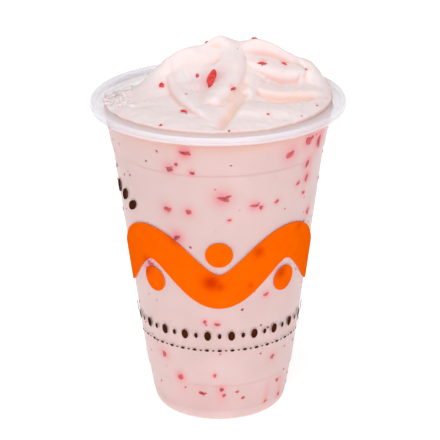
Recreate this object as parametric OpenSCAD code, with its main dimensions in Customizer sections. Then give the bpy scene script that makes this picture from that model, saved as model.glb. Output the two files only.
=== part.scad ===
// Strawberry smoothie in a tapered translucent plastic cup.
// The cup stands on its foot ring at z = 0 with its axis along +Z.
// The drink fills it to the brim and stands above it in soft folds.

/* [Cup] */
// Outer diameter of the rolled rim
rim_d = 95; // [92:0.5:98]
// Height from the foot to the top of the rim
cup_h = 122; // [112:1:132]
// Thickness of the plastic wall
wall = 0.7; // [0.5:0.1:1.0]
// Outer diameter of the body just under the stacking shoulder
body_top_d = 80; // [78:0.5:82]
// Outer diameter of the body at its lower end
body_base_d = 56.6; // [54:0.2:60]
// Diameter of the outer edge of the ring that the cup stands on
foot_d = 44.6; // [40:0.2:48]

/* [Moulded steps] */
// Depth of the stacking shoulder below the top of the rim
shoulder_drop = 17.2; // [14:0.2:20]
// Height of the lower stacking ring
ring_h = 16.6; // [13:0.2:20]
// Height of the rounded foot
foot_h = 5.8; // [4:0.2:8]
// How far the wall steps in at each ring
step_in = 0.4; // [0.2:0.1:0.6]

/* [Rim] */
// Height of the rolled edge
bead_h = 3; // [2.4:0.2:3.6]
// Radial thickness of the rolled edge
bead_w = 1.9; // [1.4:0.1:2.2]
// Radial width of the flat top between the mouth and the outer edge
flange_w = 5.2; // [4.4:0.2:5.6]

/* [Smoothie] */
// Depth of the drink below the top of the rim where it is lowest, at the back left
edge_low = 6.5; // [3:0.5:8]
// Swell of the drink's surface across the cup before any fold
swell = 3.5; // [1:0.5:6]
// Height of the middle of the heap's crest above the rim, without its folds
crest_h = 17.5; // [13:0.5:19]
// Reach of the heap's slope towards the front
slope = 26; // [18:1:30]
// Softness of the creases between the folds
crease = 0.4; // [0.2:0.1:1]

/* [Hidden] */
$fn = 96;

sides = 96;          // corners of each ring of the drink
heap_rings = 28;     // rings from the wall to the middle of the heap
spine_steps = 8;     // straight runs along the middle line of a fold
steep_side = 5.6;    // side of a fold up to which its edge is steep
hair = 0.02;         // room between the drink and the wall
ramp = 0.2;          // half the height over which a step runs in
lip = 0.7;           // rounding of the mouth
collar_draft = 0.187;
base_draft = 0.16;

rim_r = rim_d / 2;
mouth_r = rim_r - flange_w;
shoulder_z = cup_h - shoulder_drop;
collar_top_z = cup_h - bead_h;
collar_base_r = body_top_d / 2 + step_in;
collar_top_r = collar_base_r + collar_draft * (collar_top_z - shoulder_z);
band_top_r = body_base_d / 2 - step_in;
band_base_r = band_top_r - base_draft * (ring_h - foot_h);
foot_top_r = band_base_r - step_in * 0.75;
foot_r = foot_d / 2;
foot_flat = 1.6;     // width of the flat ring that touches the table
panel_rise = 2.6;    // height of the underside of the middle of the base
panel_r = foot_r - foot_flat - 3;

// Points of a quarter or half turn about [x, y], from angle a to angle b
function arc(x, y, rx, ry, a, b, n = 6) =
    [for (i = [0:n]) let (t = a + (b - a) * i / n) [x + rx * cos(t), y + ry * sin(t)]];

// Rounded foot, as the outside of the wall or one wall further in
function foot_arc(inset) = let (rise = foot_h - ramp - inset)
    arc(foot_r, foot_h - ramp, foot_top_r - foot_r - inset, rise, -90, 0);

// Straight stretches of the wall and the steps between them, up to the collar
function wall_line(inset) = [
    [band_base_r - inset, foot_h + ramp],
    [band_top_r - inset, ring_h - ramp],
    [body_base_d / 2 - inset, ring_h + ramp],
    [body_top_d / 2 - inset, shoulder_z - ramp],
    [collar_base_r - inset, shoulder_z + ramp],
    [collar_top_r - inset, collar_top_z]];

// Wall from the foot to the collar as [radius, height]
function side_line(inset) = concat(foot_arc(inset), wall_line(inset));

// Base inside the foot ring: the flat ring's inner edge, then the raised middle
function base_line(lift) = [
    [foot_r - foot_flat + 0.3 * lift, lift],
    [panel_r + 0.3 * lift, panel_rise + lift],
    [0, panel_rise + lift]];

// Rolled rim: underside of the flange, rolled edge, flat top and rounded mouth
function rim_line() =
    let (corner = 1, low = 0.4, under = cup_h - wall - 0.2, bead_r = rim_r - bead_w)
    concat(
        [[collar_top_r + 0.2, under], [bead_r, under]],
        arc(bead_r + low, collar_top_z + low, low, low, 180, 270, 3),
        arc(rim_r - low, collar_top_z + low, low, low, -90, 0, 3),
        arc(rim_r - corner, cup_h - corner, corner, corner, 0, 90),
        arc(mouth_r + lip, cup_h - lip, lip, lip, 90, 180));

function reversed(v) = [for (i = [len(v) - 1:-1:0]) v[i]];

module cup() {
    color([0.92, 0.9, 0.93, 0.5])
    rotate_extrude()
    polygon(concat(
        reversed(base_line(0)), side_line(0), rim_line(), reversed(side_line(wall)), base_line(wall)));
}

// Radius of the space inside the cup at a height above the foot
function inside_r(z) = lookup(z, [for (p = concat(side_line(wall), [[mouth_r, cup_h - lip]])) [p[1], p[0]]]);

// Crest of the heap from its left end to its right end: three places that steer the line,
// the heights that steer it above the rim, and the reach of the slope to the back and front
CREST_ENDS = [11, 10.5];
CREST = [[[-18, 6], [2, 13], [26, 9]],
    [CREST_ENDS[0], 2 * crest_h - (CREST_ENDS[0] + CREST_ENDS[1]) / 2, CREST_ENDS[1]],
    [10, 15, 12],
    [11, slope, 11]];

// Folds laid over the heap. Each has three places that steer its middle line, how far it
// stands proud there, and how wide it is on its left and on its right.
FOLDS = [
    [[[5, 8], [9, -6], [-2, -20]], [1.5, 4, 3.4], 5, 7],               // tongue
    [[[-17, 7], [-16, -18], [1, -36]], [0, 7, 0], 8, 2.8],             // swoop to the front
    [[[15, -8], [8, -20], [0, -30]], [2, 2.8, 1], 3, 7],               // ridge right of the tongue
    [[[13, 2], [23, -3], [34, 4]], [1, 6, 2.5], 9, 3],                 // upper pillow
    [[[14, -9], [26, -16], [37, -6]], [1, 5.5, 2.5], 10, 3.5],         // lower pillow
    [[[9, -25], [24, -30], [36, -14]], [2, 3.6, 1.5], 9, 9],           // front right skirt
    [[[8, 8], [17, 12], [32, 8]], [1, 7, 3], 8, 4],                    // petal
    [[[29, 9], [38, 9], [37, -4]], [3, 8.5, 2.5], 5, 7],               // curl at the right
    [[[26, 8], [31, 3], [32, -3]], [1, 4.5, 1], 3, 3],                 // rib of the curl
    [[[-6, 12], [1, 12], [6, 8]], [0, 6.5, 0.5], 8, 4],                // peak
    [[[-38, -4], [-30, -28], [-6, -36]], [1, 2, 1], 9, 8],             // front left skirt
    [[[-23, 7], [-14, 12], [-8, 6]], [2, 4, 0.5], 10, 13],             // left dome
    [[[30, 14], [22, 28], [2, 26]], [1, 4, 1.5], 9, 4],                // lap at the back right
    [[[8, 24], [-8, 26], [-22, 12]], [1.5, 4, 1], 9, 4],               // lap at the back left
    [[[34, 10], [26, 34], [4, 36]], [1, 2.5, 1], 8, 6]                 // back skirt
];

// Furrows cut between the folds: three places, depth and half width
FURROWS = [
    [[[10, -16], [5, -27], [1, -38]], 2.2, 1.6],
    [[[10, -10], [7, -18], [2, -24]], 0.8, 1.4],
    [[[15, -13], [25, -19], [34, -12]], 0.8, 1.3]
];

// Value part of the way t along a curve steered by three values
function steer(p, t) = (1 - t) ^ 2 * p[0] + 2 * t * (1 - t) * p[1] + t ^ 2 * p[2];

// Middle line of a curve as a row of places
function spine(p) = [for (i = [0:spine_steps]) steer(p, i / spine_steps)];

crest_spine = spine(CREST[0]);
fold_spines = [for (f = FOLDS) spine(f[0])];
furrow_spines = [for (f = FURROWS) spine(f[0])];

// Nearest point of a row of places to q: [distance, share of the way along, 1 to its left]
function near(line, q) =
    let (hits = [for (i = [0:spine_steps - 1])
            let (a = line[i], ab = line[i + 1] - a, aq = q - a,
                s = max(0, min(1, (aq * ab) / (ab * ab))))
            [norm(aq - s * ab), (i + s) / spine_steps, ab.x * aq.y - ab.y * aq.x > 0 ? 1 : 0]],
        least = min([for (h = hits) h[0]]))
    [for (h = hits) if (h[0] == least) h][0];

// Level of the drink before the heap: brimful at the front right, lowest at the back left
function level(r, a) = swell * (1 - (r / mouth_r) ^ 2) - edge_low * ((1 - cos(a + 60)) / 2) ^ 3;

// Level with the heap's crest on it
function slope_h(q, low) = let (n = near(crest_spine, q), reach = steer(CREST[n[2] == 1 ? 2 : 3], n[1]))
    low + (steer(CREST[1], n[1]) - low) * exp(-(n[0] / reach) ^ 1.5);

// How far fold f stands proud at q. A narrow side ends in a steep edge, a wide one fades out.
function fold_h(f, q) =
    let (n = near(fold_spines[f], q),
        w = n[2] == 1 ? FOLDS[f][2] : FOLDS[f][3],
        across = (n[0] / w) ^ 2)
    steer(FOLDS[f][1], n[1]) * (w > steep_side ? exp(-1.6 * across) : 1 - across);

function furrow_h(f, q) = FURROWS[f][1] * exp(-(near(furrow_spines[f], q)[0] / FURROWS[f][2]) ^ 2);

function sum(v) = v * [for (i = v) 1];

// Height of the drink's surface above the rim
function heap(r, a) =
    let (q = [r * cos(a), r * sin(a)],
        proud = [for (f = [0:len(FOLDS) - 1]) fold_h(f, q)],
        cut = [for (f = [0:len(FURROWS) - 1]) furrow_h(f, q)])
    slope_h(q, level(r, a)) - sum(cut)
        + crease * ln(1 + sum([for (h = proud) exp(max(h, -20) / crease)]));

// Height above the foot where the drink meets the wall
function brim(a) = cup_h + min(-lip, heap(mouth_r - 1, a));

function around(i) = 360 * i / sides;

// Ring of points at one height, and rings of the heap's surface from the wall inwards
function flat_ring(r, z) = [for (i = [0:sides - 1]) [r * cos(around(i)), r * sin(around(i)), z]];

function heap_ring(k) = [for (i = [0:sides - 1])
    let (a = around(i), edge = brim(a), r = (inside_r(edge) - hair) * (1 - k / heap_rings))
    [r * cos(a), r * sin(a), k == 0 ? edge : max(edge, cup_h + heap(r, a))]];

// The drink: one solid under the heap's surface, against the wall and the base
module smoothie() {
    line = concat(reversed(base_line(wall + hair)), [for (p = side_line(wall)) p + [-hair, hair]]);
    rings = concat(
        [for (i = [1:len(line) - 2]) flat_ring(line[i][0], line[i][1])],
        [for (k = [0:heap_rings - 1]) heap_ring(k)]);
    last = len(rings) - 1;
    count = len(rings) * sides;
    points = concat(
        [for (ring = rings) each ring],
        [[0, 0, line[0][1]], [0, 0, cup_h + heap(0, 0)]]);
    faces = concat(
        [for (i = [0:sides - 1]) [i, (i + 1) % sides, count]],
        [for (k = [0:last - 1], i = [0:sides - 1])
            let (j = (i + 1) % sides, a = k * sides, b = a + sides)
            each [[a + i, b + i, b + j], [a + i, b + j, a + j]]],
        [for (i = [0:sides - 1]) [last * sides + (i + 1) % sides, last * sides + i, count + 1]]);
    color([0.94, 0.82, 0.81])
    polyhedron(points, faces, convexity = 6);
}

cup();
smoothie();
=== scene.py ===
# %% [markdown]
# # A strawberry smoothie in its cup
#
# The finished object is a tapered cup of milky see-through plastic, filled to the brim with
# a thick pink drink. The drink stands above the rim in soft folds, bits of strawberry show in
# it and through the wall, and a band of bright ink runs round the cup.
#
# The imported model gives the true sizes: a thin cup and one solid of drink. This lesson
# replaces both with finished pieces of the same size.

# %% Load the frame
import math

import bmesh
import bpy
import numpy as np
from mathutils import Matrix, Vector


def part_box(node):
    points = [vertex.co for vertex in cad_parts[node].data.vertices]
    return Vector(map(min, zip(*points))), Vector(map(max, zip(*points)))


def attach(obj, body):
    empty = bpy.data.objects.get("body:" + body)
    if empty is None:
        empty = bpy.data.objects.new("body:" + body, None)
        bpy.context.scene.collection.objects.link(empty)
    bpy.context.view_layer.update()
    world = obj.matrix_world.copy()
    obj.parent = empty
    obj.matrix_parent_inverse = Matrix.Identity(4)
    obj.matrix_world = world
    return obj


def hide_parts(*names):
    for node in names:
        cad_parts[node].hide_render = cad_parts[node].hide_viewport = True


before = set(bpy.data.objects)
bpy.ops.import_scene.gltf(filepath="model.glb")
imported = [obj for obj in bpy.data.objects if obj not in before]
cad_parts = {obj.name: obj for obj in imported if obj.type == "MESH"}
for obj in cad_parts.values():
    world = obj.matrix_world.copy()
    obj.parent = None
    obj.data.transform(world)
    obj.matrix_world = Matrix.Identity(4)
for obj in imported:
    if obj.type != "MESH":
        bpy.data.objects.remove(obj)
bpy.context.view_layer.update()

# %% [markdown]
# ## Sizes that everything hangs on
#
# The rim and the height come from the frame. The other sizes are those of the moulded wall,
# given in millimetres and turned to metres with MM, as a mould drawing would give them.
# The drink's edge isn't level: it sinks from the front right to the back left.

# %% Measures of the cup
MM = 0.001
cup_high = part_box("cup")[1]
RIM_R = max(cup_high.x, cup_high.y)
RIM_Z = cup_high.z
WALL = 0.7 * MM
MOUTH_R = RIM_R - 5.2 * MM
BEAD_H = 3 * MM
SHOULDER_Z = RIM_Z - 17.2 * MM
BODY_TOP_R = 40 * MM
BODY_BASE_R = 28.3 * MM
RING_Z = 16.6 * MM
FOOT_Z = 5.8 * MM
FOOT_R = 22.3 * MM
STEP = 0.4 * MM
COLLAR_DRAFT = 0.187
BAND_DRAFT = 0.16
COLLAR_TOP_R = BODY_TOP_R + STEP + COLLAR_DRAFT * (RIM_Z - BEAD_H - SHOULDER_Z)
BAND_BASE_R = BODY_BASE_R - STEP - BAND_DRAFT * (RING_Z - FOOT_Z)
FOOT_TOP_R = BAND_BASE_R - 0.75 * STEP
PANEL_RISE = 2.6 * MM
PANEL_R = FOOT_R - 4.6 * MM
EDGE_LOW = 6.5
HIGH_SIDE = math.radians(-60)


def edge_drop(turn):
    """How far the edge of the drink sinks at an angle round the cup, in millimetres."""
    return EDGE_LOW * ((1 - np.cos(turn - HIGH_SIDE)) / 2) ** 3


print("rim radius", round(RIM_R, 4), "height", round(RIM_Z, 4))

# %% [markdown]
# ## Camera
#
# A product is shot from a little above with a long lens, so that the tapered wall stays
# straight and the mouth opens as a narrow ellipse. The camera stands well back, looks down
# by about twenty degrees, and is turned by a hair as a hand-held one is.

# %% Camera
camera_data = bpy.data.cameras.new("product_camera")
camera_data.lens = 189.9
camera_data.sensor_width = 36
camera = bpy.data.objects.new("product_camera", camera_data)
bpy.context.scene.collection.objects.link(camera)
CAMERA_PLACE = (0.45 * MM, -819 * MM, 389.3 * MM)
LOOK_DOWN = math.radians(21.12)
HAND_TURN = math.radians(-0.4)
camera.matrix_world = (
    Matrix.Translation(CAMERA_PLACE)
    @ Matrix.Rotation(math.pi / 2 - LOOK_DOWN, 4, "X")
    @ Matrix.Rotation(HAND_TURN, 4, "Z"))
bpy.context.scene.camera = camera
bpy.context.scene.view_settings.view_transform = "Standard"
print("camera at", [round(c, 3) for c in camera.matrix_world.translation])

# %% [markdown]
# ## Helpers for meshes
#
# Most pieces are worked out as arrays of points and joined into quads. These helpers put a
# mesh in the scene, join rings of points into faces, and turn an outline round the axis.

# %% Mesh helpers
def placed(name, mesh):
    """An object at the origin that holds a mesh."""
    piece = bpy.data.objects.new(name, mesh)
    bpy.context.scene.collection.objects.link(piece)
    print(name, len(mesh.vertices), "points,", len(mesh.polygons), "faces")
    return piece


def make_piece(name, points, faces, material, attributes=None):
    """A smooth-shaded piece, with one value per point for each attribute."""
    mesh = bpy.data.meshes.new(name)
    mesh.from_pydata(np.asarray(points).tolist(), [], faces)
    for key, values in (attributes or {}).items():
        layer = mesh.attributes.new(key, "FLOAT", "POINT")
        layer.data.foreach_set("value", np.asarray(values, np.float32))
    mesh.polygons.foreach_set("use_smooth", [True] * len(mesh.polygons))
    mesh.materials.append(material)
    mesh.update()
    return placed(name, mesh)


def net_faces(rings, around):
    """Quads of a closed tube of rings, then fans to the two end points that follow the rings."""
    faces = []
    for k in range(rings - 1):
        a, b = k * around, (k + 1) * around
        for i in range(around):
            j = (i + 1) % around
            faces.append((a + i, a + j, b + j, b + i))
    tip = rings * around
    last = tip - around
    for i in range(around):
        j = (i + 1) % around
        faces.append((j, i, tip))
        faces.append((last + i, last + j, tip + 1))
    return faces


def turned_points(line, around):
    """Points of an outline [(radius, height), ...] turned round the cup's axis."""
    line = np.asarray(line)
    a = np.arange(around) * 2 * math.pi / around
    return np.stack([
        line[:, None, 0] * np.cos(a), line[:, None, 0] * np.sin(a),
        line[:, None, 1] + 0 * a], -1).reshape(-1, 3)


# %% [markdown]
# ## Helpers for materials
#
# Every finish starts from one Principled shader. The other helpers add a node in one call, or
# name what finishes are made of, which keeps a material short enough to read.

# %% Material helpers
def new_finish(name, colour, roughness, **sockets):
    """A material with its Principled node, and values set on that node's own sockets."""
    material = bpy.data.materials.new(name)
    material.use_nodes = True
    shader = material.node_tree.nodes["Principled BSDF"]
    shader.inputs["Base Color"].default_value = (*colour, 1)
    shader.inputs["Roughness"].default_value = roughness
    for key, value in sockets.items():
        shader.inputs[key.replace("_", " ")].default_value = value
    return material, shader


def add_node(tree, kind, inputs=None, **settings):
    """A node with its settings made and its inputs set to values or joined to other outputs."""
    node = tree.nodes.new(kind)
    for key, value in settings.items():
        setattr(node, key, value)
    for key, value in (inputs or {}).items():
        if isinstance(value, bpy.types.NodeSocket):
            tree.links.new(value, node.inputs[key])
        else:
            node.inputs[key].default_value = value
    return node


def mesh_value(tree, name):
    """Socket of a value that the mesh carries on its points."""
    return add_node(tree, "ShaderNodeAttribute", attribute_name=name).outputs["Fac"]


def mixed(tree, share, low, high):
    """The colour between two colours, at a share from a socket."""
    mix = add_node(tree, "ShaderNodeMix", data_type="RGBA")
    tree.links.new(share, mix.inputs[0])
    for socket, colour in ((mix.inputs[6], low), (mix.inputs[7], high)):
        if isinstance(colour, bpy.types.NodeSocket):
            tree.links.new(colour, socket)
        else:
            socket.default_value = (*colour, 1)
    return mix.outputs[2]


def object_noise(tree, scale, detail=2.0, squash=(1, 1, 1)):
    """Noise in the piece's own space, with its scale in bumps per metre."""
    place = add_node(tree, "ShaderNodeTexCoord")
    turn = add_node(tree, "ShaderNodeMapping", {"Vector": place.outputs["Object"], "Scale": squash})
    noise = add_node(tree, "ShaderNodeTexNoise", {
        "Vector": turn.outputs[0], "Scale": scale, "Detail": detail, "Roughness": 0.55})
    return noise.outputs[0]


def spread(tree, value, low, high):
    """A value stretched so that low becomes 0 and high becomes 1."""
    ramp = add_node(tree, "ShaderNodeMapRange", {0: value, 1: low, 2: high}, clamp=True)
    return ramp.outputs[0]


def add_bump(tree, shader, height, strength, distance):
    """Fine relief on a finish, from a height socket."""
    bump = add_node(tree, "ShaderNodeBump", {
        "Height": height, "Strength": strength, "Distance": distance})
    tree.links.new(bump.outputs[0], shader.inputs["Normal"])


# %% [markdown]
# ## The light and the table
#
# Cups for a menu are shot on a bright white table under large soft lamps. The table is a
# wide disc with a faint unevenness, and three soft boxes give a broad light from the front
# and from above, with a little more from the right. The room is white all round, and a
# gloss sees it brighter than it lights the cup, like the walls of a light tent.

# %% Table and lamps
TABLE_R = 4.0
TABLE_AROUND = 64
table_paint, shader = new_finish("white_table", (0.93, 0.93, 0.93), 0.6, Emission_Strength=0.55)
shader.inputs["Emission Color"].default_value = (1, 1, 1, 1)
tree = table_paint.node_tree
unevenness = spread(tree, object_noise(tree, 30), 0.2, 0.8)
table_colour = mixed(tree, unevenness, (0.93, 0.93, 0.93), (0.96, 0.96, 0.96))
tree.links.new(table_colour, shader.inputs["Base Color"])
table_line = [(TABLE_R, 0.0), (TABLE_R * 0.5, 0.0), (TABLE_R * 0.1, 0.0)]
table_points = np.vstack([turned_points(table_line, TABLE_AROUND), [[0, 0, 0]]])
middle = len(table_points) - 1
table_faces = [tuple(min(i, middle) for i in face)
               for face in net_faces(len(table_line), TABLE_AROUND) if middle not in face]
table = make_piece("table", table_points, table_faces, table_paint)


def soft_box(name, place, size, power):
    """A square area lamp that faces the middle of the cup."""
    lamp = bpy.data.lights.new(name, "AREA")
    lamp.shape = "SQUARE"
    lamp.size = size
    lamp.energy = power
    box = bpy.data.objects.new(name, lamp)
    aim = Vector((0, 0, RIM_Z * 0.6)) - Vector(place)
    box.matrix_world = Matrix.Translation(place) @ aim.to_track_quat("-Z", "Y").to_matrix().to_4x4()
    bpy.context.scene.collection.objects.link(box)


soft_box("front_box", (-0.4, -1.4, 0.8), 0.9, 7.9)
soft_box("right_box", (1.1, -0.9, 0.8), 0.5, 4)
soft_box("top_box", (-0.3, -0.2, 1.5), 0.7, 6.5)

ROOM_LIGHT = 0.32
ROOM_GLEAM = 0.42
world = bpy.data.worlds.new("white_room")
world.use_nodes = True
tree = world.node_tree
background = tree.nodes["Background"]
background.inputs["Color"].default_value = (1, 1, 1, 1)
path = add_node(tree, "ShaderNodeLightPath")
brightness = add_node(tree, "ShaderNodeMath", {
    0: path.outputs["Is Glossy Ray"], 1: ROOM_GLEAM, 2: ROOM_LIGHT}, operation="MULTIPLY_ADD")
tree.links.new(brightness.outputs[0], background.inputs["Strength"])
bpy.context.scene.world = world

# %% [markdown]
# ## The form of the wall
#
# The cup is a turned form, so one outline says all of it. Corners on the real mould are
# rounded by a fraction of a millimetre, and that is what catches the light at each ring, so
# every corner of the outline is replaced with a short curve.

# %% Outline of the wall
def rounded(line, cut, steps=4):
    """The outline with each inner corner replaced by a curve that starts cut before it."""
    out = [line[0]]
    for before, corner, after in zip(line, line[1:], line[2:]):
        c = np.array(corner)
        ways = [np.array(p) - c for p in (before, after)]
        a, b = [c + way / np.linalg.norm(way) * min(cut, np.linalg.norm(way) * 0.45) for way in ways]
        for t in np.arange(steps + 1) / steps:
            out.append(tuple((1 - t) ** 2 * a + 2 * t * (1 - t) * c + t * t * b))
    return out + [line[-1]]


def foot_curve(inset):
    """The rounded foot, a quarter of an ellipse from the foot ring up to the band."""
    steps, reach, rise = 10, FOOT_TOP_R - FOOT_R - inset, FOOT_Z - inset
    turn = [math.radians(-90 + 90 * i / steps) for i in range(steps + 1)]
    return [(FOOT_R + reach * math.cos(t), FOOT_Z + rise * math.sin(t)) for t in turn]


def side_line(inset):
    """The wall from the foot to the collar: its outside, or the same one inset further in."""
    return foot_curve(inset) + rounded([
        (BAND_BASE_R - inset, FOOT_Z + 0.25 * MM),
        (BODY_BASE_R - STEP - inset, RING_Z - 0.15 * MM),
        (BODY_BASE_R - inset, RING_Z + 0.25 * MM),
        (BODY_TOP_R - inset, SHOULDER_Z - 0.25 * MM),
        (BODY_TOP_R + STEP - inset, SHOULDER_Z + 0.15 * MM),
        (COLLAR_TOP_R - inset, RIM_Z - BEAD_H)], 0.3 * MM)


def base_line(lift):
    """The base from the foot ring in to the raised middle: its underside, or one lift above it."""
    return rounded([
        (FOOT_R - 1.6 * MM + 0.3 * lift, lift),
        (PANEL_R + 0.3 * lift, PANEL_RISE + lift),
        (0.5 * MM, PANEL_RISE + lift)], 1.2 * MM)


def rim_line():
    """The rolled rim from under the flange, round the grooved edge and over the top to the mouth."""
    under = RIM_Z - WALL - 0.2 * MM
    return rounded([
        (COLLAR_TOP_R + 0.1 * MM, under),
        (RIM_R - 1.9 * MM, under),
        (RIM_R - 1.9 * MM, RIM_Z - BEAD_H),
        (RIM_R - 0.1 * MM, RIM_Z - BEAD_H),
        (RIM_R, RIM_Z - 1.9 * MM),
        (RIM_R - 0.3 * MM, RIM_Z - 1.6 * MM),
        (RIM_R, RIM_Z - 1.3 * MM),
        (RIM_R - 0.3 * MM, RIM_Z),
        (RIM_R - 1.9 * MM, RIM_Z),
        (RIM_R - 2.3 * MM, RIM_Z - 0.35 * MM),
        (RIM_R - 2.8 * MM, RIM_Z - 0.3 * MM),
        (MOUTH_R, RIM_Z - 0.1 * MM),
        (MOUTH_R - 0.05 * MM, RIM_Z - BEAD_H)], 0.45 * MM)


def wall_radius(height, inset=0.0):
    """Outer radius of the wall at a height, or the radius one inset further in."""
    line = np.array(side_line(inset))
    return np.interp(height, line[:, 1], line[:, 0])


print("wall radius at mid height", round(float(wall_radius(0.06)), 4))

# %% [markdown]
# ## Finish of the cup
#
# The plastic is milky: it lets most of what is behind it through and adds a pale grey veil
# and a soft gloss of its own. Rough glass would blur what is behind but renders slowly and
# noisily, so the veil is a plain share of opacity, and faint clouds vary its colour. The
# wall hugs the drink and hardly shows, and the folded rim shows most. On the top of the rim,
# most at the front and back, and inside the mouth, light is painted into the colour: the
# plastic is painted warmer and brighter there, where light comes through it from behind and
# lifts its shade. A value on the mesh is low where this light is painted.

# %% Cup plastic
def milky_plastic(name, veil):
    """Pale grey plastic that hides a share of what is behind it, with painted light where a mesh value
    is low.
    """
    plastic, shader = new_finish(name, (0.80, 0.78, 0.82), 0.28, Alpha=veil, IOR=1.49)
    tree = plastic.node_tree
    clouds = spread(tree, object_noise(tree, 60, 3.0), 0.3, 0.7)
    colour = mixed(tree, clouds, (0.82, 0.79, 0.85), (0.90, 0.87, 0.93))
    # Painted light: a warmer, brighter colour where the mesh value is low.
    colour = mixed(tree, mesh_value(tree, "no_painted_light"), (0.98, 0.94, 0.965), colour)
    tree.links.new(colour, shader.inputs["Base Color"])
    add_bump(tree, shader, object_noise(tree, 90, 2.0, (1, 1, 0.3)), 0.15, 0.4 * MM)
    return plastic


wall_plastic = milky_plastic("wall_plastic", 0.05)
rim_plastic = milky_plastic("rim_plastic", 0.5)
mouth_plastic = milky_plastic("mouth_plastic", 0.32)

# %% [markdown]
# ## The cup
#
# On the real cup one sheet is drawn into a mould, so wall, base and rim are one piece. A
# turned outline gives the same: out along the underside, up the outside, over the rim, down
# the inside and in along the base. A screw modifier could turn it too, but here each face
# also gets its finish: a milky rim, and a thinner veil on the inside of the mouth.

# %% Cup
CUP_AROUND = 256
COLLAR_RUNS = 14
outline = base_line(0)[::-1] + side_line(0) + rim_line() + side_line(WALL)[::-1] + base_line(WALL)
cup_line = [outline[0]]
for start, end in zip(np.array(outline), np.array(outline[1:])):
    is_collar = max(start[1], end[1]) > SHOULDER_Z + 2 * MM and abs(end[1] - start[1]) > 5 * MM
    runs = COLLAR_RUNS if is_collar else 1
    cup_line += [start + (end - start) * i / runs for i in range(1, runs + 1)]
cup_points = np.vstack([
    turned_points(cup_line, CUP_AROUND), [[0, 0, PANEL_RISE], [0, 0, PANEL_RISE + WALL]]])
from_axis = np.hypot(cup_points[:, 0], cup_points[:, 1])
# Where light is painted on the cup: all round inside the top of the mouth, and on the top of the rim,
# most at the front and back.
inside_mouth = (from_axis < MOUTH_R + 0.1 * MM) & (cup_points[:, 2] > RIM_Z - 8 * MM)
front_or_back = (cup_points[:, 1] / np.maximum(from_axis, MM)) ** 2
painted_top_light = (cup_points[:, 2] > RIM_Z - 0.5 * MM) * (0.2 + 0.8 * front_or_back)
cup = make_piece("cup_wall", cup_points, net_faces(len(cup_line), CUP_AROUND), wall_plastic,
                 {"no_painted_light": 1.0 - np.maximum(inside_mouth, painted_top_light)})
cup.data.materials.append(rim_plastic)
cup.data.materials.append(mouth_plastic)
for face in cup.data.polygons:
    x, y, z = face.center
    is_bare = z > min(RIM_Z - edge_drop(math.atan2(y, x)) * MM, RIM_Z - BEAD_H)
    in_mouth = math.hypot(x, y) < MOUTH_R + 0.8 * MM and z < RIM_Z - 0.3 * MM
    face.material_index = 2 if is_bare and in_mouth else int(is_bare)
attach(cup, "root")
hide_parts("cup")

# %% [markdown]
# ## The form of the drink
#
# A thick drink poured last into a full cup lands in ropes and laps: a crest along the back
# of the heap, slopes down to the rim, and folds laid over them that meet in sharp creases.
# It could be sculpted by hand, but a height worked out from a short list of folds can be
# read and changed. Each fold has a curved middle line, a height it stands proud by, and a
# width on each side: a narrow side makes the steep edge of a lap.

# %% Crest, folds and furrows, in millimetres
CREST = dict(line=[(-18, 6), (2, 13), (26, 9)], height=(11, 24.2, 10.5),
             back=(10, 15, 12), front=(11, 26, 11))
FOLDS = [
    # middle line, how far it stands proud, width to its left and to its right, lean to its right
    ([(5, 8), (9, -6), (-2, -20)], (1.5, 4, 3.4), 5, 7, -0.8),
    ([(-17, 7), (-16, -18), (1, -36)], (0, 7, 0), 8, 2.8, 1),
    ([(15, -8), (8, -20), (0, -30)], (2, 2.8, 1), 3, 7, 0),
    ([(13, 2), (23, -3), (34, 4)], (1, 6, 2.5), 9, 3, 1.5),
    ([(14, -9), (26, -16), (37, -6)], (1, 5.5, 2.5), 10, 3.5, 1.5),
    ([(9, -25), (24, -30), (36, -14)], (2, 3.6, 1.5), 9, 9, 0),
    ([(8, 8), (17, 12), (32, 8)], (1, 7, 3), 8, 4, 1.5),
    ([(29, 9), (38, 9), (37, -4)], (3, 8.5, 2.5), 5, 7, 0.5),
    ([(26, 8), (31, 3), (32, -3)], (1, 4.5, 1), 3, 3, 0.5),
    ([(-6, 12), (1, 12), (6, 8)], (0, 6.5, 0.5), 8, 4, 0.8),
    ([(-38, -4), (-30, -28), (-6, -36)], (1, 2, 1), 9, 8, 0),
    ([(-23, 7), (-14, 12), (-8, 6)], (2, 4, 0.5), 10, 13, 0),
    ([(30, 14), (22, 28), (2, 26)], (1, 4, 1.5), 9, 4, 1),
    ([(8, 24), (-8, 26), (-22, 12)], (1.5, 4, 1), 9, 4, 1),
    ([(34, 10), (26, 34), (4, 36)], (1, 2.5, 1), 8, 6, 0),
]
FURROWS = [
    # line, depth, width
    ([(10, -16), (5, -27), (1, -38)], 2.2, 1.6),
    ([(10, -10), (7, -18), (2, -24)], 0.8, 1.4),
    ([(15, -13), (25, -19), (34, -12)], 0.8, 1.1),
]
SWELL = 3.5
CREASE = 0.3
STEEP = 5.6


# %% [markdown]
# ## The height of the heap
#
# The crest's slopes come first. Each fold then adds the height that it stands proud by, and
# where folds meet, a soft maximum keeps the higher one and leaves a sharp crease between
# them. Furrows are cut last. A lap also hangs over its steep edge, which a height can't
# say, so each point is given a small sideways lean as well.

# %% Height of the heap
def steer(values, t):
    """Value part of the way t along a curve steered by three values."""
    return (1 - t) ** 2 * values[0] + 2 * t * (1 - t) * values[1] + t ** 2 * values[2]


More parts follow.
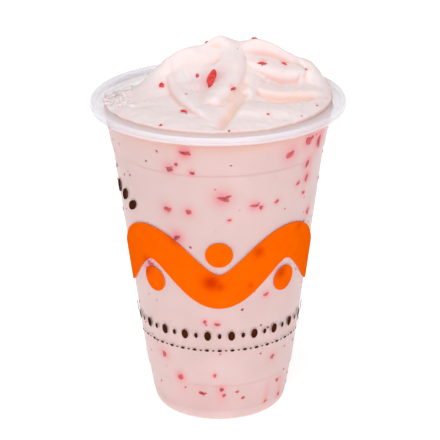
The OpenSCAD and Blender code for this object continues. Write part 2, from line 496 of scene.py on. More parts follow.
def near_line(line, x, y, runs=20):
    """Distance to a curve, share of the way along it, whether a point is on its left, way right."""
    spots = [steer(np.array(line, float), i / runs) for i in range(runs + 1)]
    best = np.full(np.shape(x), 1e9)
    share = np.zeros(np.shape(x))
    is_left = np.zeros(np.shape(x), bool)
    to_right = np.zeros((*np.shape(x), 2))
    for i, (a, b) in enumerate(zip(spots, spots[1:])):
        run = b - a
        s = np.clip(((x - a[0]) * run[0] + (y - a[1]) * run[1]) / (run @ run), 0, 1)
        away = np.hypot(x - a[0] - s * run[0], y - a[1] - s * run[1])
        closer = away < best
        best = np.where(closer, away, best)
        share = np.where(closer, (i + s) / runs, share)
        is_left = np.where(closer, run[0] * (y - a[1]) - run[1] * (x - a[0]) > 0, is_left)
        to_right = np.where(closer[..., None], np.array([run[1], -run[0]]) / np.hypot(*run), to_right)
    return best, share, is_left, to_right


def heap_form(x, y):
    """Height above the rim and how far the point leans over sideways, all in millimetres."""
    r = np.hypot(x, y) / (MOUTH_R / MM)
    turn = np.arctan2(y, x)
    level = SWELL * (1 - r ** 2) - edge_drop(turn)
    away, share, is_left, _ = near_line(CREST["line"], x, y)
    reach = np.where(is_left, steer(CREST["back"], share), steer(CREST["front"], share))
    slope = level + (steer(CREST["height"], share) - level) * np.exp(-(away / reach) ** 1.5)
    total = np.ones(np.shape(x))
    lean = np.zeros((*np.shape(x), 2))
    for line, proud_along, left, right, lean_by in FOLDS:
        away, share, is_left, to_right = near_line(line, x, y)
        width = np.where(is_left, left, right)
        top = steer(proud_along, share)
        across = (away / width) ** 2
        proud = top * np.where(width > STEEP, np.exp(-1.6 * across), 1 - across)
        part = np.exp(np.maximum(proud, -20) / CREASE)
        total = total + part
        lift = np.clip(proud / np.maximum(top, 1), 0, 1) * lean_by * part
        lean = lean + to_right * lift[..., None]
    for line, depth, width in FURROWS:
        away = near_line(line, x, y)[0]
        slope = slope - depth * np.exp(-(away / width) ** 2)
    inside = np.clip((1 - r) / 0.12, 0, 1)
    return slope + CREASE * np.log(total), lean * (inside / total)[..., None]


def heap_height(x, y):
    """Height above the rim alone, in millimetres."""
    return heap_form(x, y)[0]


# A grid of heights and of their mean round each point finds the hollows where shade is painted.
GRID_REACH = 44
PER_MM = 2
CELLS = 2 * GRID_REACH * PER_MM
NEAR = range(-3, 4)
CREASE_DEPTH = 0.45
grid = np.linspace(-GRID_REACH, GRID_REACH, CELLS + 1)
grid_height = heap_height(*np.meshgrid(grid, grid))
grid_mean = sum(np.roll(grid_height, (i, j), (0, 1)) for i in NEAR for j in NEAR) / len(NEAR) ** 2


def crease_shade_share(x, y):
    """Share of painted shade: 1 where the surface lies well under the mean of its surroundings, 0 where
    it doesn't.
    """
    row, column = (y + GRID_REACH) * PER_MM, (x + GRID_REACH) * PER_MM
    i = np.clip(row.astype(int), 0, CELLS - 1)
    j = np.clip(column.astype(int), 0, CELLS - 1)
    u, v = column - j, row - i
    low = grid_mean - grid_height
    share = ((low[i, j] * (1 - u) + low[i, j + 1] * u) * (1 - v)
             + (low[i + 1, j] * (1 - u) + low[i + 1, j + 1] * u) * v)
    return np.clip(share / CREASE_DEPTH, 0, 1)


print("height above the axis", round(float(heap_height(0.0, 0.0)), 1), "mm")

# %% [markdown]
# ## Bits of strawberry: where they lie
#
# Some bits are large enough to be told apart, so they are placed one by one: an angle round
# the cup (-90 is the front), a height, a length, a width and a turn. A soft stain surrounds
# each, because the juice spreads. The stain is a value on the points of the drink's mesh,
# and the print takes it up too where a bit lies behind it.

# %% Places of the larger bits
WALL_BITS = [
    # angle, height, length, width, turn, depth of colour
    (-107, 114, 3.0, 1.6, -15, 1.0), (-116, 107, 2.4, 2.2, 0, 0.5), (-112, 109, 1.6, 1.2, 40, 0.4),
    (-104, 106, 1.8, 1.0, -20, 0.7), (-120, 90, 2.4, 1.8, -30, 0.5), (-107, 90, 1.8, 2.2, 0, 0.4),
    (-88, 96, 4.4, 1.6, -20, 0.6), (-70, 92, 3.2, 0.9, -10, 0.6), (-66, 91, 1.2, 1.6, 0, 0.6),
    (-56, 92, 1.6, 0.9, 35, 0.4), (-84, 87, 1.2, 0.7, 0, 0.5), (-37, 114, 2.8, 4.2, -20, 0.7),
    (-26, 112, 7.0, 2.0, 70, 0.9), (-50, 111, 5.0, 2.2, 40, 0.3), (-34, 104, 4.0, 1.4, 60, 0.7),
    (-33, 98, 3.6, 1.1, 55, 0.8), (-41, 97, 1.8, 1.2, 20, 0.4), (-35, 92, 1.6, 1.2, -40, 0.4),
    (-26, 83, 1.6, 3.0, 10, 0.5), (-36, 79, 1.4, 0.8, 30, 0.4), (-115, 79, 3.4, 1.6, 50, 0.8),
    (-139, 65, 2.6, 1.6, -40, 0.8), (-142, 62, 1.6, 2.2, 0, 0.7), (-95, 61.5, 4.2, 1.4, -30, 1.0),
    (-90, 60, 2.0, 1.6, 0, 0.6), (-66, 73, 2.4, 1.4, 10, 0.6), (-48, 62, 2.2, 1.8, 0, 0.6),
    (-70, 59.5, 1.0, 1.0, 0, 0.6), (-58, 54, 2.0, 1.4, 0, 0.3), (-92, 43.5, 1.8, 1.1, -35, 0.5),
    (-100, 44.5, 1.0, 1.6, 0, 0.3), (-136, 27, 1.6, 2.8, 10, 0.35), (-122, 19, 2.0, 2.0, 20, 0.7),
    (-119, 14.5, 0.8, 0.7, 0, 0.8), (-105, 13, 2.4, 1.5, -35, 0.9), (-89, 15, 1.4, 2.0, 20, 0.7),
    (-87, 12.5, 0.9, 2.2, -20, 0.4), (-76, 13.5, 1.2, 0.9, 0, 0.5), (-71, 10.5, 1.7, 1.0, 10, 0.7),
    (-94, 21.5, 0.9, 1.4, 0, 0.3), (-36, 14, 1.6, 1.8, 0, 0.6), (-30, 6.5, 1.8, 1.2, 60, 0.7),
    (-48, 6.5, 1.4, 0.8, 20, 0.5), (-47, 26, 1.4, 2.0, 0, 0.2),
]
HEAP_BITS = [
    # x, y, length, width, turn, depth of colour
    (-2.3, -8, 10.0, 3.4, 78, 1.0), (-20.5, -4, 2.6, 1.8, -60, 0.8), (-12.5, -25.5, 3.0, 1.4, -50, 0.9),
    (5.2, -15, 3.0, 1.0, 60, 0.6), (16.8, 1, 3.6, 1.1, 0, 0.7), (24.5, 4, 2.4, 0.8, -10, 1.0),
    (13.5, 11, 2.4, 1.4, 10, 0.5), (-4, 11, 1.6, 1.0, 20, 0.5), (-7.5, -4, 1.2, 2.2, 0, 0.25),
    (18, -30, 1.0, 0.7, 0, 0.7), (36, -18, 1.0, 0.7, 0, 0.6), (-20.5, -35.5, 1.2, 0.7, 20, 0.9),
    (33, 3, 1.2, 0.8, -50, 0.6), (30, -28, 0.9, 0.6, 0, 0.6),
]


def on_wall(angle, height, inset):
    """A place on the wall, one inset in from its outside, and the outward and round directions."""
    a = math.radians(angle)
    r = float(wall_radius(height * MM, inset))
    out = Vector((math.cos(a), math.sin(a), 0))
    return out * r + Vector((0, 0, height * MM)), out, Vector((-math.sin(a), math.cos(a), 0))


def stain_at(points):
    """Share of juice at points on the wall and the heap, from the larger bits."""
    stain = np.zeros(len(points))
    for angle, height, length, width, _, depth in WALL_BITS:
        spot = np.array(on_wall(angle, height, WALL)[0])
        away = np.linalg.norm(points - spot, axis=1) / (0.5 * (length + width) * MM)
        stain = np.maximum(stain, (0.3 + 0.6 * depth) * np.exp(-(away / 1.2) ** 2))
    for x, y, length, width, _, depth in HEAP_BITS:
        away = np.hypot(points[:, 0] - x * MM, points[:, 1] - y * MM) / (0.5 * (length + width) * MM)
        above = points[:, 2] > RIM_Z - 8 * MM
        stain = np.maximum(stain, 0.55 * depth * above * np.exp(-(away / 0.62) ** 2))
    return stain


print(len(WALL_BITS), "bits at the wall,", len(HEAP_BITS), "in the heap")

# %% [markdown]
# ## Finish of the drink
#
# The drink is pale pink and moist, and light goes a few millimetres into it: in a tight
# furrow it comes back peach. Subsurface scattering gives the softness, and fine noise the
# grain of crushed ice. The rest of the colour hangs on values that the mesh carries: side
# (the drink seen through the wall, painted darker than the heap as shade for the light that
# the wall keeps from it), ring (painted shadow lines of the moulded steps), peach (painted
# warm shade under the rim), crease (painted shade in the hollows of the heap), furrow
# (painted peach shade along the furrows, for the light that comes back through the drink),
# and the stains of juice.

# %% Smoothie finish
SOFT = {"Subsurface_Weight": 0.25, "Subsurface_Scale": 1.5 * MM, "Subsurface_Radius": (1.0, 0.45, 0.32)}
smoothie_finish, shader = new_finish("smoothie", (0.90, 0.72, 0.70), 0.36, IOR=1.38, **SOFT)
tree = smoothie_finish.node_tree
patches = spread(tree, object_noise(tree, 70, 3.0), 0.3, 0.7)
# Painted shade: the drink seen through the wall is painted darker than the heap, for the light that the
# wall keeps from it.
shaded_side_colour = mixed(tree, patches, (0.66, 0.465, 0.445), (0.71, 0.515, 0.495))
shaded_side_colour = mixed(tree, mesh_value(tree, "ring"), shaded_side_colour, (0.55, 0.28, 0.26))
# Painted warm shade just under the rim.
shaded_side_colour = mixed(tree, mesh_value(tree, "peach"), shaded_side_colour, (0.74, 0.40, 0.32))
heap_colour = mixed(tree, patches, (0.96, 0.795, 0.79), (0.975, 0.85, 0.845))
# Painted shade in the hollows of the heap.
heap_colour = mixed(tree, mesh_value(tree, "crease"), heap_colour, (0.93, 0.63, 0.58))
colour = mixed(tree, mesh_value(tree, "side"), heap_colour, shaded_side_colour)
# Painted warm shade along the furrows, where light comes back peach.
colour = mixed(tree, mesh_value(tree, "furrow"), colour, (0.97, 0.70, 0.61))
colour = mixed(tree, mesh_value(tree, "stain"), colour, (0.78, 0.11, 0.15))
tree.links.new(colour, shader.inputs["Base Color"])
add_bump(tree, shader, object_noise(tree, 700, 3.0), 0.15, 0.3 * MM)

# %% [markdown]
# ## The drink
#
# One closed net covers the drink: rings up the inside of the wall, then rings of the heap
# from the brim to the middle. It reaches a tenth of a millimetre into the wall, so that no
# gap of air shows between the drink and the plastic. A smooth heap would look like cream,
# so waves too small to count as folds roughen it, most of all near the rim.

# %% Rings of the drink
AROUND = 360
HEAP_RINGS = 120
WALL_RINGS = 100
UPPER_RINGS = 10
INTO_WALL = 0.12 * MM
drink_inset = WALL - INTO_WALL
turns = np.arange(AROUND) * 2 * math.pi / AROUND


def wobble(points, size, amount, seed):
    """Smooth uneven offsets, from a few waves in random directions."""
    waves = 14
    rng = np.random.default_rng(seed)
    total = np.zeros(len(points))
    for _ in range(waves):
        way = rng.normal(size=3)
        way /= np.linalg.norm(way)
        length = size * rng.uniform(0.6, 1.6)
        total += np.sin(points @ way * 2 * math.pi / length + rng.uniform(0, 6.28))
    return total / waves ** 0.5 * amount


inside_line = side_line(drink_inset)
low_line = base_line(drink_inset)[::-1] + [p for p in inside_line if p[1] < RING_Z + 0.3 * MM]
low_line += [(float(wall_radius(z, drink_inset)), z)
             for z in np.linspace(RING_Z + 1 * MM, SHOULDER_Z - 1 * MM, WALL_RINGS)]
low_line += [p for p in inside_line if SHOULDER_Z - 0.4 * MM < p[1] < RIM_Z - 9 * MM]
rings = [turned_points([p], AROUND) for p in low_line]
r = MOUTH_R / MM - 1
brim = RIM_Z + np.minimum(-0.2, heap_height(r * np.cos(turns), r * np.sin(turns))) * MM
line_top = low_line[-1][1]
for k in range(1, UPPER_RINGS + 1):
    z = line_top + (brim - line_top) * k / UPPER_RINGS
    r = wall_radius(np.minimum(z, RIM_Z - BEAD_H), drink_inset)
    r = np.where(z > RIM_Z - BEAD_H, MOUTH_R + INTO_WALL * 0.5, r)
    rings.append(np.stack([r * np.cos(turns), r * np.sin(turns), z], -1))
first_heap = len(rings) * AROUND
edge_r = np.hypot(rings[-1][:, 0], rings[-1][:, 1])
# Painted shade in the hollows of the heap; none on the drink's side.
crease_shade = [np.zeros(first_heap)]
for k in range(1, HEAP_RINGS):
    r = edge_r * (1 - k / HEAP_RINGS)
    x, y = r * np.cos(turns), r * np.sin(turns)
    height, lean = heap_form(x / MM, y / MM)
    height = np.maximum(RIM_Z + height * MM, brim)
    rings.append(np.stack([x + lean[:, 0] * MM, y + lean[:, 1] * MM, height], -1))
    crease_shade.append(crease_shade_share(x / MM, y / MM))
middle, lean = heap_form(0.0, 0.0)
drink_points = np.vstack(rings + [
    [[0, 0, low_line[0][1]], [lean[0] * MM, lean[1] * MM, RIM_Z + float(middle) * MM]]])
crease_shade = np.concatenate(crease_shade + [[0, 0]])
heap_part = np.zeros(len(drink_points), bool)
heap_part[first_heap:-2] = True
heap_part[-1] = True
heap_out = np.hypot(*drink_points[heap_part, :2].T) / MOUTH_R
drink_points[heap_part, 2] += wobble(drink_points[heap_part], 7 * MM, 0.14 * MM, 3)
roughness = 0.03 * MM + 0.09 * MM * np.clip(heap_out * 2 - 0.9, 0, 1)
drink_points[heap_part, 2] += wobble(drink_points[heap_part], 2.2 * MM, 1.0, 4) * roughness
print("rings:", len(rings), "lowest brim", round(float(brim.min()), 4))

# %% [markdown]
# ## Values on the drink
#
# A value on each point tells the finish and the scattered things where they are: in a
# furrow, at the left brim where crumbs cling, at the back, by a step, or under the rim.

# %% Smoothie
CRUMB_TURN = 178
LIP_TURN = -12
turn_of = np.degrees(np.arctan2(drink_points[:, 1], drink_points[:, 0]))
far_out = np.hypot(drink_points[:, 0], drink_points[:, 1]) / MOUTH_R

# Painted warm shade along the furrows, faded towards their ends.
furrow_shade = np.zeros(len(drink_points))
for line, _, width in FURROWS:
    away, share = near_line(line, drink_points[:, 0] / MM, drink_points[:, 1] / MM)[:2]
    fade = np.clip(4.5 * share * (1.05 - share), 0, 1)
    reach = np.exp(-(away / width / 1.2) ** 2)
    furrow_shade = np.maximum(furrow_shade, heap_part * fade * reach)

from_left = np.minimum(np.abs(turn_of - CRUMB_TURN), np.abs(turn_of + 360 - CRUMB_TURN))
left_brim = np.exp(-(from_left / 24) ** 2) * np.clip((far_out - 0.72) / 0.1, 0, 1)
right_lip = np.exp(-((turn_of - LIP_TURN) / 16) ** 2) * np.clip((far_out - 0.88) / 0.08, 0, 1)
crumb_value = heap_part * left_brim + 0.25 * heap_part * right_lip
drink_points[:, 2] += crumb_value * wobble(drink_points, 3.4 * MM, 0.7 * MM, 9)

height_of = drink_points[:, 2]
above_foot = height_of > RING_Z * 0.5
from_front = np.abs((turn_of + 90 + 180) % 360 - 180)
speck_value = np.where(heap_part, 0.12, 0.3 + 0.7 * np.clip((from_front - 40) / 40, 0, 1)) * above_foot
hidden_value = ~heap_part * np.clip((from_front - 68) / 10, 0, 1) * above_foot
ring_value = sum(strength * np.exp(-((height_of - z) / (0.35 * MM)) ** 2)
                 for z, strength in ((SHOULDER_Z, 0.6), (RING_Z, 0.5), (FOOT_Z, 0.4)))
# Painted warm shade just under the rim, strongest at the front.
under_rim = np.exp(-((RIM_Z - BEAD_H - height_of) / (4.5 * MM)) ** 2)
rim_shade = under_rim * (0.75 + 0.25 * np.cos(np.radians(turn_of + 90)))
drink = make_piece(
    "smoothie_body", drink_points, net_faces(len(rings), AROUND), smoothie_finish,
    {"furrow": furrow_shade, "crease": crease_shade, "stain": stain_at(drink_points),
     "side": 1.0 - heap_part, "crumb": crumb_value, "speck": speck_value,
     "hidden_side": hidden_value, "ring": ring_value, "peach": rim_shade})
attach(drink, "root")
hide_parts("smoothie")

# %% [markdown]
# ## Finish of the strawberry
#
# Cut flesh is deep red with paler fibres. In the drink its thin edges have gone pink. Its red
# is painted in a lit and a shaded copy: bright on a bit on top of the heap, in the open light,
# and darker on a bit inside the drink. Two values on the mesh say so: pale, and the share of
# painted light.

# %% Strawberry finish
berry_finish, shader = new_finish("strawberry", (0.85, 0.03, 0.03), 0.4, Specular_IOR_Level=0.3)
tree = berry_finish.node_tree
fibres = spread(tree, object_noise(tree, 900, 3.0, (1, 1, 0.35)), 0.4, 0.6)
# Painted shaded and lit copies of the flesh, for a bit inside the drink and one on top of the heap.
painted_shaded_flesh = mixed(tree, fibres, (0.22, 0.001, 0.008), (0.74, 0.015, 0.018))
painted_lit_flesh = mixed(tree, fibres, (0.66, 0.010, 0.012), (0.95, 0.075, 0.045))
colour = mixed(tree, mesh_value(tree, "painted_lit_flesh"), painted_shaded_flesh, painted_lit_flesh)
colour = mixed(tree, mesh_value(tree, "pale"), colour, (0.76, 0.12, 0.15))
tree.links.new(colour, shader.inputs["Base Color"])
add_bump(tree, shader, object_noise(tree, 1500, 2.0), 0.3, 0.2 * MM)

# %% [markdown]
# ## Bits of strawberry: their shape
#
# A blender leaves bits of flesh torn to flat, uneven nuggets. Each starts as a ball of small
# triangles, is squashed to its length and width, and is pushed in and out by a few waves. A
# bit at the wall lies flat against it, with a smaller shred at its end. A bit in the heap
# lies along the slope and is sunk in it by half.

# %% Bits at the wall and in the heap
def ball(steps=3):
    """Points and triangles of a round ball of radius 1."""
    shape = bmesh.new()
    bmesh.ops.create_icosphere(shape, subdivisions=steps, radius=1)
    points = np.array([v.co for v in shape.verts])
    faces = [tuple(v.index for v in f.verts) for f in shape.faces]
    shape.free()
    return points, faces


BALL_POINTS, BALL_FACES = ball()


def nugget(seed):
    """A ball pushed in and out by waves, different for each seed."""
    ragged = wobble(BALL_POINTS, 1.6, 0.25, seed) + wobble(BALL_POINTS, 0.6, 0.14, seed + 200)
    return BALL_POINTS * (1 + ragged[:, None])


class Joined:
    """Points, faces and a value per point of many small shapes, gathered into one mesh."""

    def __init__(self):
        self.points, self.faces, self.values, self.count = [], [], [], 0

    def add(self, points, faces, value=0.0):
        """One more shape, its faces numbered from its own first point."""
        self.points.append(points)
        self.faces += [tuple(i + self.count for i in f) for f in faces]
        self.values.append(np.full(len(points), value))
        self.count += len(points)


WALL_GROWTH = 1.1
WALL_THICK = 0.28
HEAP_THICK = 1.4
# shift along the bit, share of its size, twist, and what is added to its seed
SHREDS = ((0, 1, 0, 0), (0.5, 0.6, 35, 25))
edge_share = np.clip((0.75 - BALL_POINTS[:, 2]) / 0.5, 0, 1)
bits = Joined()
for i, (angle, height, length, width, turn, depth) in enumerate(WALL_BITS):
    place, out, around = on_wall(angle, height, WALL - INTO_WALL + 0.03 * MM)
    up = out.cross(around)
    for shift, share, twist, more in SHREDS:
        t = math.radians(turn + twist)
        along = around * math.cos(t) + up * math.sin(t)
        axes = np.array([along, up * math.cos(t) - around * math.sin(t), out])
        size = np.array([length * share, width * share, WALL_THICK]) * WALL_GROWTH * 0.5 * MM
        spot = np.array(place) + axes[0] * shift * length * MM
        bits.add((nugget(10 + i + more) * size) @ axes + spot, BALL_FACES,
                 0.5 * (1 - depth) + 0.5 * edge_share)
for i, (x, y, length, width, turn, depth) in enumerate(HEAP_BITS):
    step = 0.4
    h = [float(heap_height(x + dx, y + dy)) for dx, dy in ((0, 0), (step, 0), (0, step))]
    lean = heap_form(x, y)[1]
    normal = Vector((h[0] - h[1], h[0] - h[2], step)).normalized()
    t = math.radians(turn)
    along = Vector((math.cos(t), math.sin(t), 0))
    along = (along - normal * along.dot(normal)).normalized()
    axes = np.array([along, normal.cross(along), normal])
    size = np.array([length, width, min(width, HEAP_THICK)]) * 0.5 * MM
    place = np.array([(x + lean[0]) * MM, (y + lean[1]) * MM, RIM_Z + h[0] * MM])
    bits.add((nugget(90 + i) * size) @ axes + place, BALL_FACES, 0.6 * (1 - depth) + 0.1)
bit_points = np.vstack(bits.points)
# Painted light: bits that lie high, on the heap, take the lit copy of the flesh colour.
berries = make_piece(
    "strawberry_bits", bit_points, bits.faces, berry_finish,
    {"pale": np.concatenate(bits.values), "painted_lit_flesh": bit_points[:, 2] > RIM_Z - 2 * MM})
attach(berries, "root")

# %% [markdown]
# ## Specks and crumbs
#
# Round the whole cup the blender has also left specks too small to place one by one, the
# sides and the back have larger bits like those of the front, and crumbs of ice cling where
# the drink meets the rim at the left. One kind of Geometry Nodes tree scatters them all:
# points on the drink's faces, denser where a value on the mesh is high, and on each a flat
# lump of random size and turn, pushed in and out by noise.

# %% Scatter tree
def new_tree(name, sockets):
    """A Geometry Nodes tree with a geometry going in and out, and named inputs."""
    tree = bpy.data.node_groups.new(name, "GeometryNodeTree")
    tree.interface.new_socket(name="Geometry", in_out="INPUT", socket_type="NodeSocketGeometry")
    for socket, kind in sockets:
        tree.interface.new_socket(name=socket, in_out="INPUT", socket_type="NodeSocket" + kind)
    tree.interface.new_socket(name="Geometry", in_out="OUTPUT", socket_type="NodeSocketGeometry")
    return tree, tree.nodes.new("NodeGroupInput").outputs


def end_tree(tree, instances, material, ragged=0.0):
    """Last nodes of a tree: instances made real, pushed in and out, smooth, with their material."""
    real = add_node(tree, "GeometryNodeRealizeInstances", {"Geometry": instances})
    if ragged:
        waves = add_node(tree, "ShaderNodeTexNoise", {"Scale": 900.0, "Detail": 2.0})
        centred = add_node(tree, "ShaderNodeVectorMath", {
            0: waves.outputs["Color"], 1: (0.5, 0.5, 0.5)}, operation="SUBTRACT")
        push = add_node(tree, "ShaderNodeVectorMath", {
            0: centred.outputs[0], "Scale": ragged}, operation="SCALE")
        real = add_node(tree, "GeometryNodeSetPosition", {
            "Geometry": real.outputs[0], "Offset": push.outputs[0]})
    smooth = add_node(tree, "GeometryNodeSetShadeSmooth", {"Geometry": real.outputs[0]})
    painted = add_node(tree, "GeometryNodeSetMaterial", {
        "Geometry": smooth.outputs[0], "Material": material})
    add_node(tree, "NodeGroupOutput", {"Geometry": painted.outputs[0]})


def grown(name, source, tree, values):
    """A plain mesh piece that the tree makes from a source object, with its inputs set."""
    modifier = source.modifiers.new(name, "NODES")
    modifier.node_group = tree
    keys = {item.name: item.identifier
            for item in tree.interface.items_tree if item.in_out == "INPUT"}
    for key, value in values.items():
        modifier[keys[key]] = value
    made = source.evaluated_get(bpy.context.evaluated_depsgraph_get())
    mesh = bpy.data.meshes.new_from_object(made)
    source.modifiers.remove(modifier)
    return placed(name, mesh)


def scatter_tree(name, where, flat, ragged, material):
    """Flat ragged lumps over a mesh, denser where its value called where is high."""
    tree, given = new_tree(name, [
        ("Per area", "Float"), ("Smallest", "Float"), ("Largest", "Float"), ("Seed", "Int")])
    share = add_node(tree, "GeometryNodeInputNamedAttribute", {"Name": where}, data_type="FLOAT")
    dense = add_node(tree, "ShaderNodeMath", {
        0: share.outputs[0], 1: given["Per area"]}, operation="MULTIPLY")
    spots = add_node(tree, "GeometryNodeDistributePointsOnFaces", {
        "Mesh": given["Geometry"], "Density": dense.outputs[0], "Seed": given["Seed"]})
    lump = add_node(tree, "GeometryNodeMeshIcoSphere", {"Radius": 0.5, "Subdivisions": 2})
    squashed = add_node(tree, "GeometryNodeTransform", {
        "Geometry": lump.outputs[0], "Scale": (1.0, 0.65, flat)})
    size = add_node(tree, "FunctionNodeRandomValue", {
        "Min": given["Smallest"], "Max": given["Largest"], "Seed": given["Seed"]}, data_type="FLOAT")
    laid = add_node(tree, "GeometryNodeInstanceOnPoints", {
        "Points": spots.outputs["Points"], "Instance": squashed.outputs[0],
        "Rotation": spots.outputs["Rotation"], "Scale": size.outputs[1]})
    turn = add_node(tree, "FunctionNodeRandomValue", {"Seed": given["Seed"]}, data_type="FLOAT_VECTOR")
    turn.inputs[0].default_value = (0, 0, 0)
    turn.inputs[1].default_value = (0.3, 0.3, 6.28)
    turned = add_node(tree, "GeometryNodeRotateInstances", {
        "Instances": laid.outputs[0], "Rotation": turn.outputs[0]})
    end_tree(tree, turned.outputs[0], material, ragged)
    return tree


# %% [markdown]
# ## Specks and back bits
#
# Specks lie all round, and the bits at the sides and the back are larger, thinner and fewer.
# Placing each by hand would say no more than a density does.

# %% Specks and back bits
speck_tree = scatter_tree("specks", "speck", 0.2, 0.7 * MM, berry_finish)
specks = grown("strawberry_specks", drink, speck_tree, {
    "Per area": 14000.0, "Smallest": 0.4 * MM, "Largest": 1.5 * MM, "Seed": 5})
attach(specks, "root")
back_tree = scatter_tree("back_bits", "hidden_side", 0.13, 1.2 * MM, berry_finish)
back_bits = grown("strawberry_back_bits", drink, back_tree, {
    "Per area": 5200.0, "Smallest": 1.6 * MM, "Largest": 4.5 * MM, "Seed": 11})
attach(back_bits, "root")

# %% [markdown]
# ## Crumbs of ice
#
# Crushed ice that the blender missed is coated with drink: paler than it, but as soft. The
# crumbs lie so close that they touch and read as a rough patch.

# %% Crumbs of ice
crumb_finish, shader = new_finish("ice_crumbs", (0.95, 0.84, 0.84), 0.4, IOR=1.31, **SOFT)
tree = crumb_finish.node_tree
frost = spread(tree, object_noise(tree, 400, 2.0), 0.35, 0.65)
crumb_colour = mixed(tree, frost, (0.95, 0.80, 0.795), (0.97, 0.87, 0.865))
tree.links.new(crumb_colour, shader.inputs["Base Color"])
add_bump(tree, shader, object_noise(tree, 1200, 2.0), 0.4, 0.2 * MM)
crumb_tree = scatter_tree("crumbs", "crumb", 0.42, 1.6 * MM, crumb_finish)
crumbs = grown("ice_crumbs", drink, crumb_tree, {
    "Per area": 120000.0, "Smallest": 1.8 * MM, "Largest": 4.8 * MM, "Seed": 8})
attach(crumbs, "root")

# %% [markdown]
# ## The inks
#
# Screen ink on a soft plastic is matt and nearly opaque. Faint clouds vary it, and orange,
# the thinner of the two, darkens where a bit of strawberry lies behind it.

# %% Ink finishes
orange_ink, shader = new_finish("orange_ink", (0.88, 0.115, 0.0), 0.5, Specular_IOR_Level=0.0)
tree = orange_ink.node_tree
clouds = spread(tree, object_noise(tree, 250, 3.0), 0.3, 0.7)
colour = mixed(tree, clouds, (0.86, 0.11, 0.0), (0.91, 0.125, 0.0))
colour = mixed(tree, mesh_value(tree, "stain"), colour, (0.60, 0.035, 0.0))
tree.links.new(colour, shader.inputs["Base Color"])

brown_ink, shader = new_finish("brown_ink", (0.06, 0.012, 0.004), 0.6, Specular_IOR_Level=0.0)
tree = brown_ink.node_tree
clouds = spread(tree, object_noise(tree, 400, 3.0), 0.3, 0.7)
colour = mixed(tree, clouds, (0.05, 0.010, 0.003), (0.07, 0.016, 0.006))
tree.links.new(colour, shader.inputs["Base Color"])

# %% [markdown]
# ## The printed band
#
# The cup is printed in simple round forms: a thick wave that runs right round the wall,
# with a solid dot in most bends. The band follows the cone and stands proud of it by a few
# hundredths of a millimetre. Real ink stops at the wall, but a film in front of the drink
# throws a thin shadow on it here, so this closed skin reaches inwards as far as the drink.

# %% Wave and dots
INK = 0.04 * MM
INK_DEPTH = 0.55 * MM
WAVES = 4
WAVE_Z = 66 * MM
WAVE_SWING = 8.5 * MM
WAVE_WIDTH = 14 * MM
DOT_R = 5 * MM
# bends of the wave counted from the front, and whether the dot lies over or under it
DOT_BENDS = ((0, 1), (2, 1), (0.5, -1), (1.5, -1), (2.5, -1), (3.5, -1))
NEAR_EDGE = 0.985
wave_r = float(wall_radius(WAVE_Z))
wave_long = 2 * math.pi * wave_r


def on_cone(u, z, lift):
    """Flat print at a distance u round the wall and a height z, laid on the wall and lifted."""
    r = wall_radius(z) + lift
    a = u / wave_r
    return np.stack([r * np.cos(a), r * np.sin(a), z], -1)


def wave_film():
    """Points and faces of a wave with a trough in front: an outer and an inner skin that meet."""
    columns, rows = 720, 18
    flat = np.concatenate([[-1, -NEAR_EDGE], np.linspace(-0.95, 0.95, rows - 4), [NEAR_EDGE, 1]])
    u = np.arange(columns) * wave_long / columns
    phase = 2 * math.pi * WAVES * (u / wave_long + 0.25)
    middle = WAVE_Z - WAVE_SWING * np.cos(phase)
    rise = WAVE_SWING * 2 * math.pi * WAVES / wave_long * np.sin(phase)
    side = np.stack([-rise, np.ones(columns)], -1) / np.hypot(rise, 1)[:, None]
    across = np.concatenate([flat, flat[::-1][1:-1]])
    lift = np.concatenate([np.where(np.abs(flat) < 1, INK, 0), np.full(rows - 2, -INK_DEPTH)])
    around = len(across)
    spots = []
    for s, w in zip(across, lift):
        uu = u + side[:, 0] * s * WAVE_WIDTH / 2
        zz = middle + side[:, 1] * s * WAVE_WIDTH / 2
        spots.append(on_cone(uu, zz, w))
    points = np.stack(spots, 1).reshape(-1, 3)
    faces = []
    for i in range(columns):
        here, there = i * around, (i + 1) % columns * around
        faces += [(here + j, there + j, there + (j + 1) % around, here + (j + 1) % around)
                  for j in range(around)]
    return points, faces


def disc_film(u, z, radius, stretch=(1, 1), turn=0.0):
    """Points and faces of a dot of ink, stretched and turned where it isn't round."""
    rows, around = 8, 48
    a = np.arange(around) * 2 * math.pi / around
    wide, tall = stretch[0] * np.cos(a), stretch[1] * np.sin(a)
    du = radius * (wide * math.cos(turn) - tall * math.sin(turn))
    dz = radius * (wide * math.sin(turn) + tall * math.cos(turn))
    rings = []
    shares = [k / rows for k in range(1, rows)] + [0.97, 1.0]
    for share, lift in [(k, INK) for k in shares] + [(k, -INK_DEPTH) for k in reversed(shares)]:
        rings.append(on_cone(u + share * du, z + share * dz, lift))
    tips = [on_cone(np.array([u]), np.array([z]), lift) for lift in (INK, -INK_DEPTH)]
    faces = [tuple(reversed(f)) for f in net_faces(len(rings), around)]
    return np.vstack(rings + tips), faces


print_parts = Joined()
print_parts.add(*wave_film())
for bend, way in DOT_BENDS:
    u = (bend / WAVES - 0.25) * wave_long
    print_parts.add(*disc_film(u, WAVE_Z + way * WAVE_SWING * 0.8, DOT_R))
band_points = np.vstack(print_parts.points)
band = make_piece("orange_print", band_points, print_parts.faces, orange_ink,
                  {"stain": np.clip(1.3 * stain_at(band_points), 0, 1)})
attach(band, "root")

# %% [markdown]
# ## The brown rows
#
# Under the wave run a row of brown beans, tall ones and round ones in turn, and a fine line
# of stitches. Each row is a ring of points that a Geometry Nodes tree covers with flat
# beans: it faces each one outwards, leans it to the wall's draft, and makes every other
# one smaller. The larger beans over the wave are few, so they are placed like the dots.

# %% Brown rows
DRAFT = math.atan2(BODY_TOP_R - BODY_BASE_R, SHOULDER_Z - RING_Z)
BEAN_THICK = 0.12 * MM


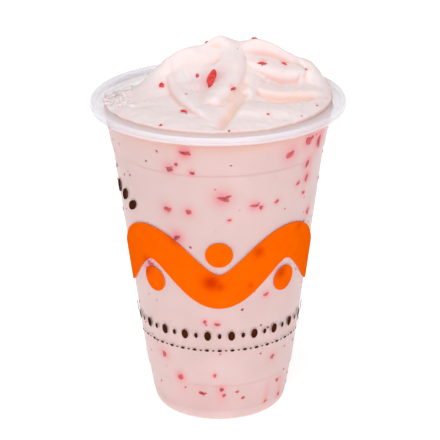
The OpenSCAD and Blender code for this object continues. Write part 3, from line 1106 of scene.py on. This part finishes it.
def row_tree():
    """A flat bean on each point of a ring, every other one smaller."""
    tree, given = new_tree("print_row", [
        ("Wide", "Float"), ("Tall", "Float"), ("Thick", "Float"), ("Second", "Float")])
    bean = add_node(tree, "GeometryNodeMeshUVSphere", {"Radius": 0.5, "Segments": 16, "Rings": 8})
    size = add_node(tree, "ShaderNodeCombineXYZ", {
        0: given["Thick"], 1: given["Wide"], 2: given["Tall"]})
    shaped = add_node(tree, "GeometryNodeTransform", {
        "Geometry": bean.outputs[0], "Scale": size.outputs[0]})
    place = add_node(tree, "GeometryNodeInputPosition")
    out = add_node(tree, "ShaderNodeVectorMath", {
        0: place.outputs[0], 1: (1, 1, 0)}, operation="MULTIPLY")
    facing = add_node(tree, "FunctionNodeAlignRotationToVector", {
        "Vector": out.outputs[0]}, axis="X", pivot_axis="Z")
    number = add_node(tree, "GeometryNodeInputIndex")
    odd = add_node(tree, "ShaderNodeMath", {0: number.outputs[0], 1: 2.0}, operation="MODULO")
    scale = add_node(tree, "ShaderNodeMapRange", {0: odd.outputs[0], 3: 1.0, 4: given["Second"]})
    high = add_node(tree, "ShaderNodeCombineXYZ", {0: 1.0, 1: scale.outputs[0], 2: scale.outputs[0]})
    laid = add_node(tree, "GeometryNodeInstanceOnPoints", {
        "Points": given["Geometry"], "Instance": shaped.outputs[0],
        "Rotation": facing.outputs[0], "Scale": high.outputs[0]})
    lean = add_node(tree, "GeometryNodeRotateInstances", {
        "Instances": laid.outputs[0], "Rotation": (0, DRAFT, 0)})
    end_tree(tree, lean.outputs[0], brown_ink)
    return tree


brown_row = row_tree()


def printed_row(name, z, count, wide, tall, second):
    """One printed row round the wall at a height z."""
    ring = turned_points([(float(wall_radius(z)) + INK, z)], count)
    mesh = bpy.data.meshes.new(name + "_ring")
    mesh.from_pydata(ring.tolist(), [], [])
    guide = placed(name + "_ring", mesh)
    row = grown(name, guide, brown_row, {
        "Wide": wide, "Tall": tall, "Thick": BEAN_THICK, "Second": second})
    bpy.data.objects.remove(guide)
    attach(row, "root")


def bean_sprigs():
    """Three slanting beans over the wave, at two places across the cup from each other."""
    sprigs = Joined()
    for start in (-165, 15):
        for k, (step, z) in enumerate(((0, 91), (9, 89.5), (17, 86.8))):
            place = math.radians(start + step) * wave_r
            slant = math.radians(-25 - 12 * k)
            sprigs.add(*disc_film(place, z * MM, 1.0 * MM, (1.5, 3.0), slant))
    piece = make_piece("brown_sprigs", np.vstack(sprigs.points), sprigs.faces, brown_ink)
    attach(piece, "root")


bean_sprigs()
printed_row("brown_beans", 38.6 * MM, 44, 2.6 * MM, 4.0 * MM, 0.55)
printed_row("brown_stitches", 32.4 * MM, 80, 1.7 * MM, 1.0 * MM, 0.6)
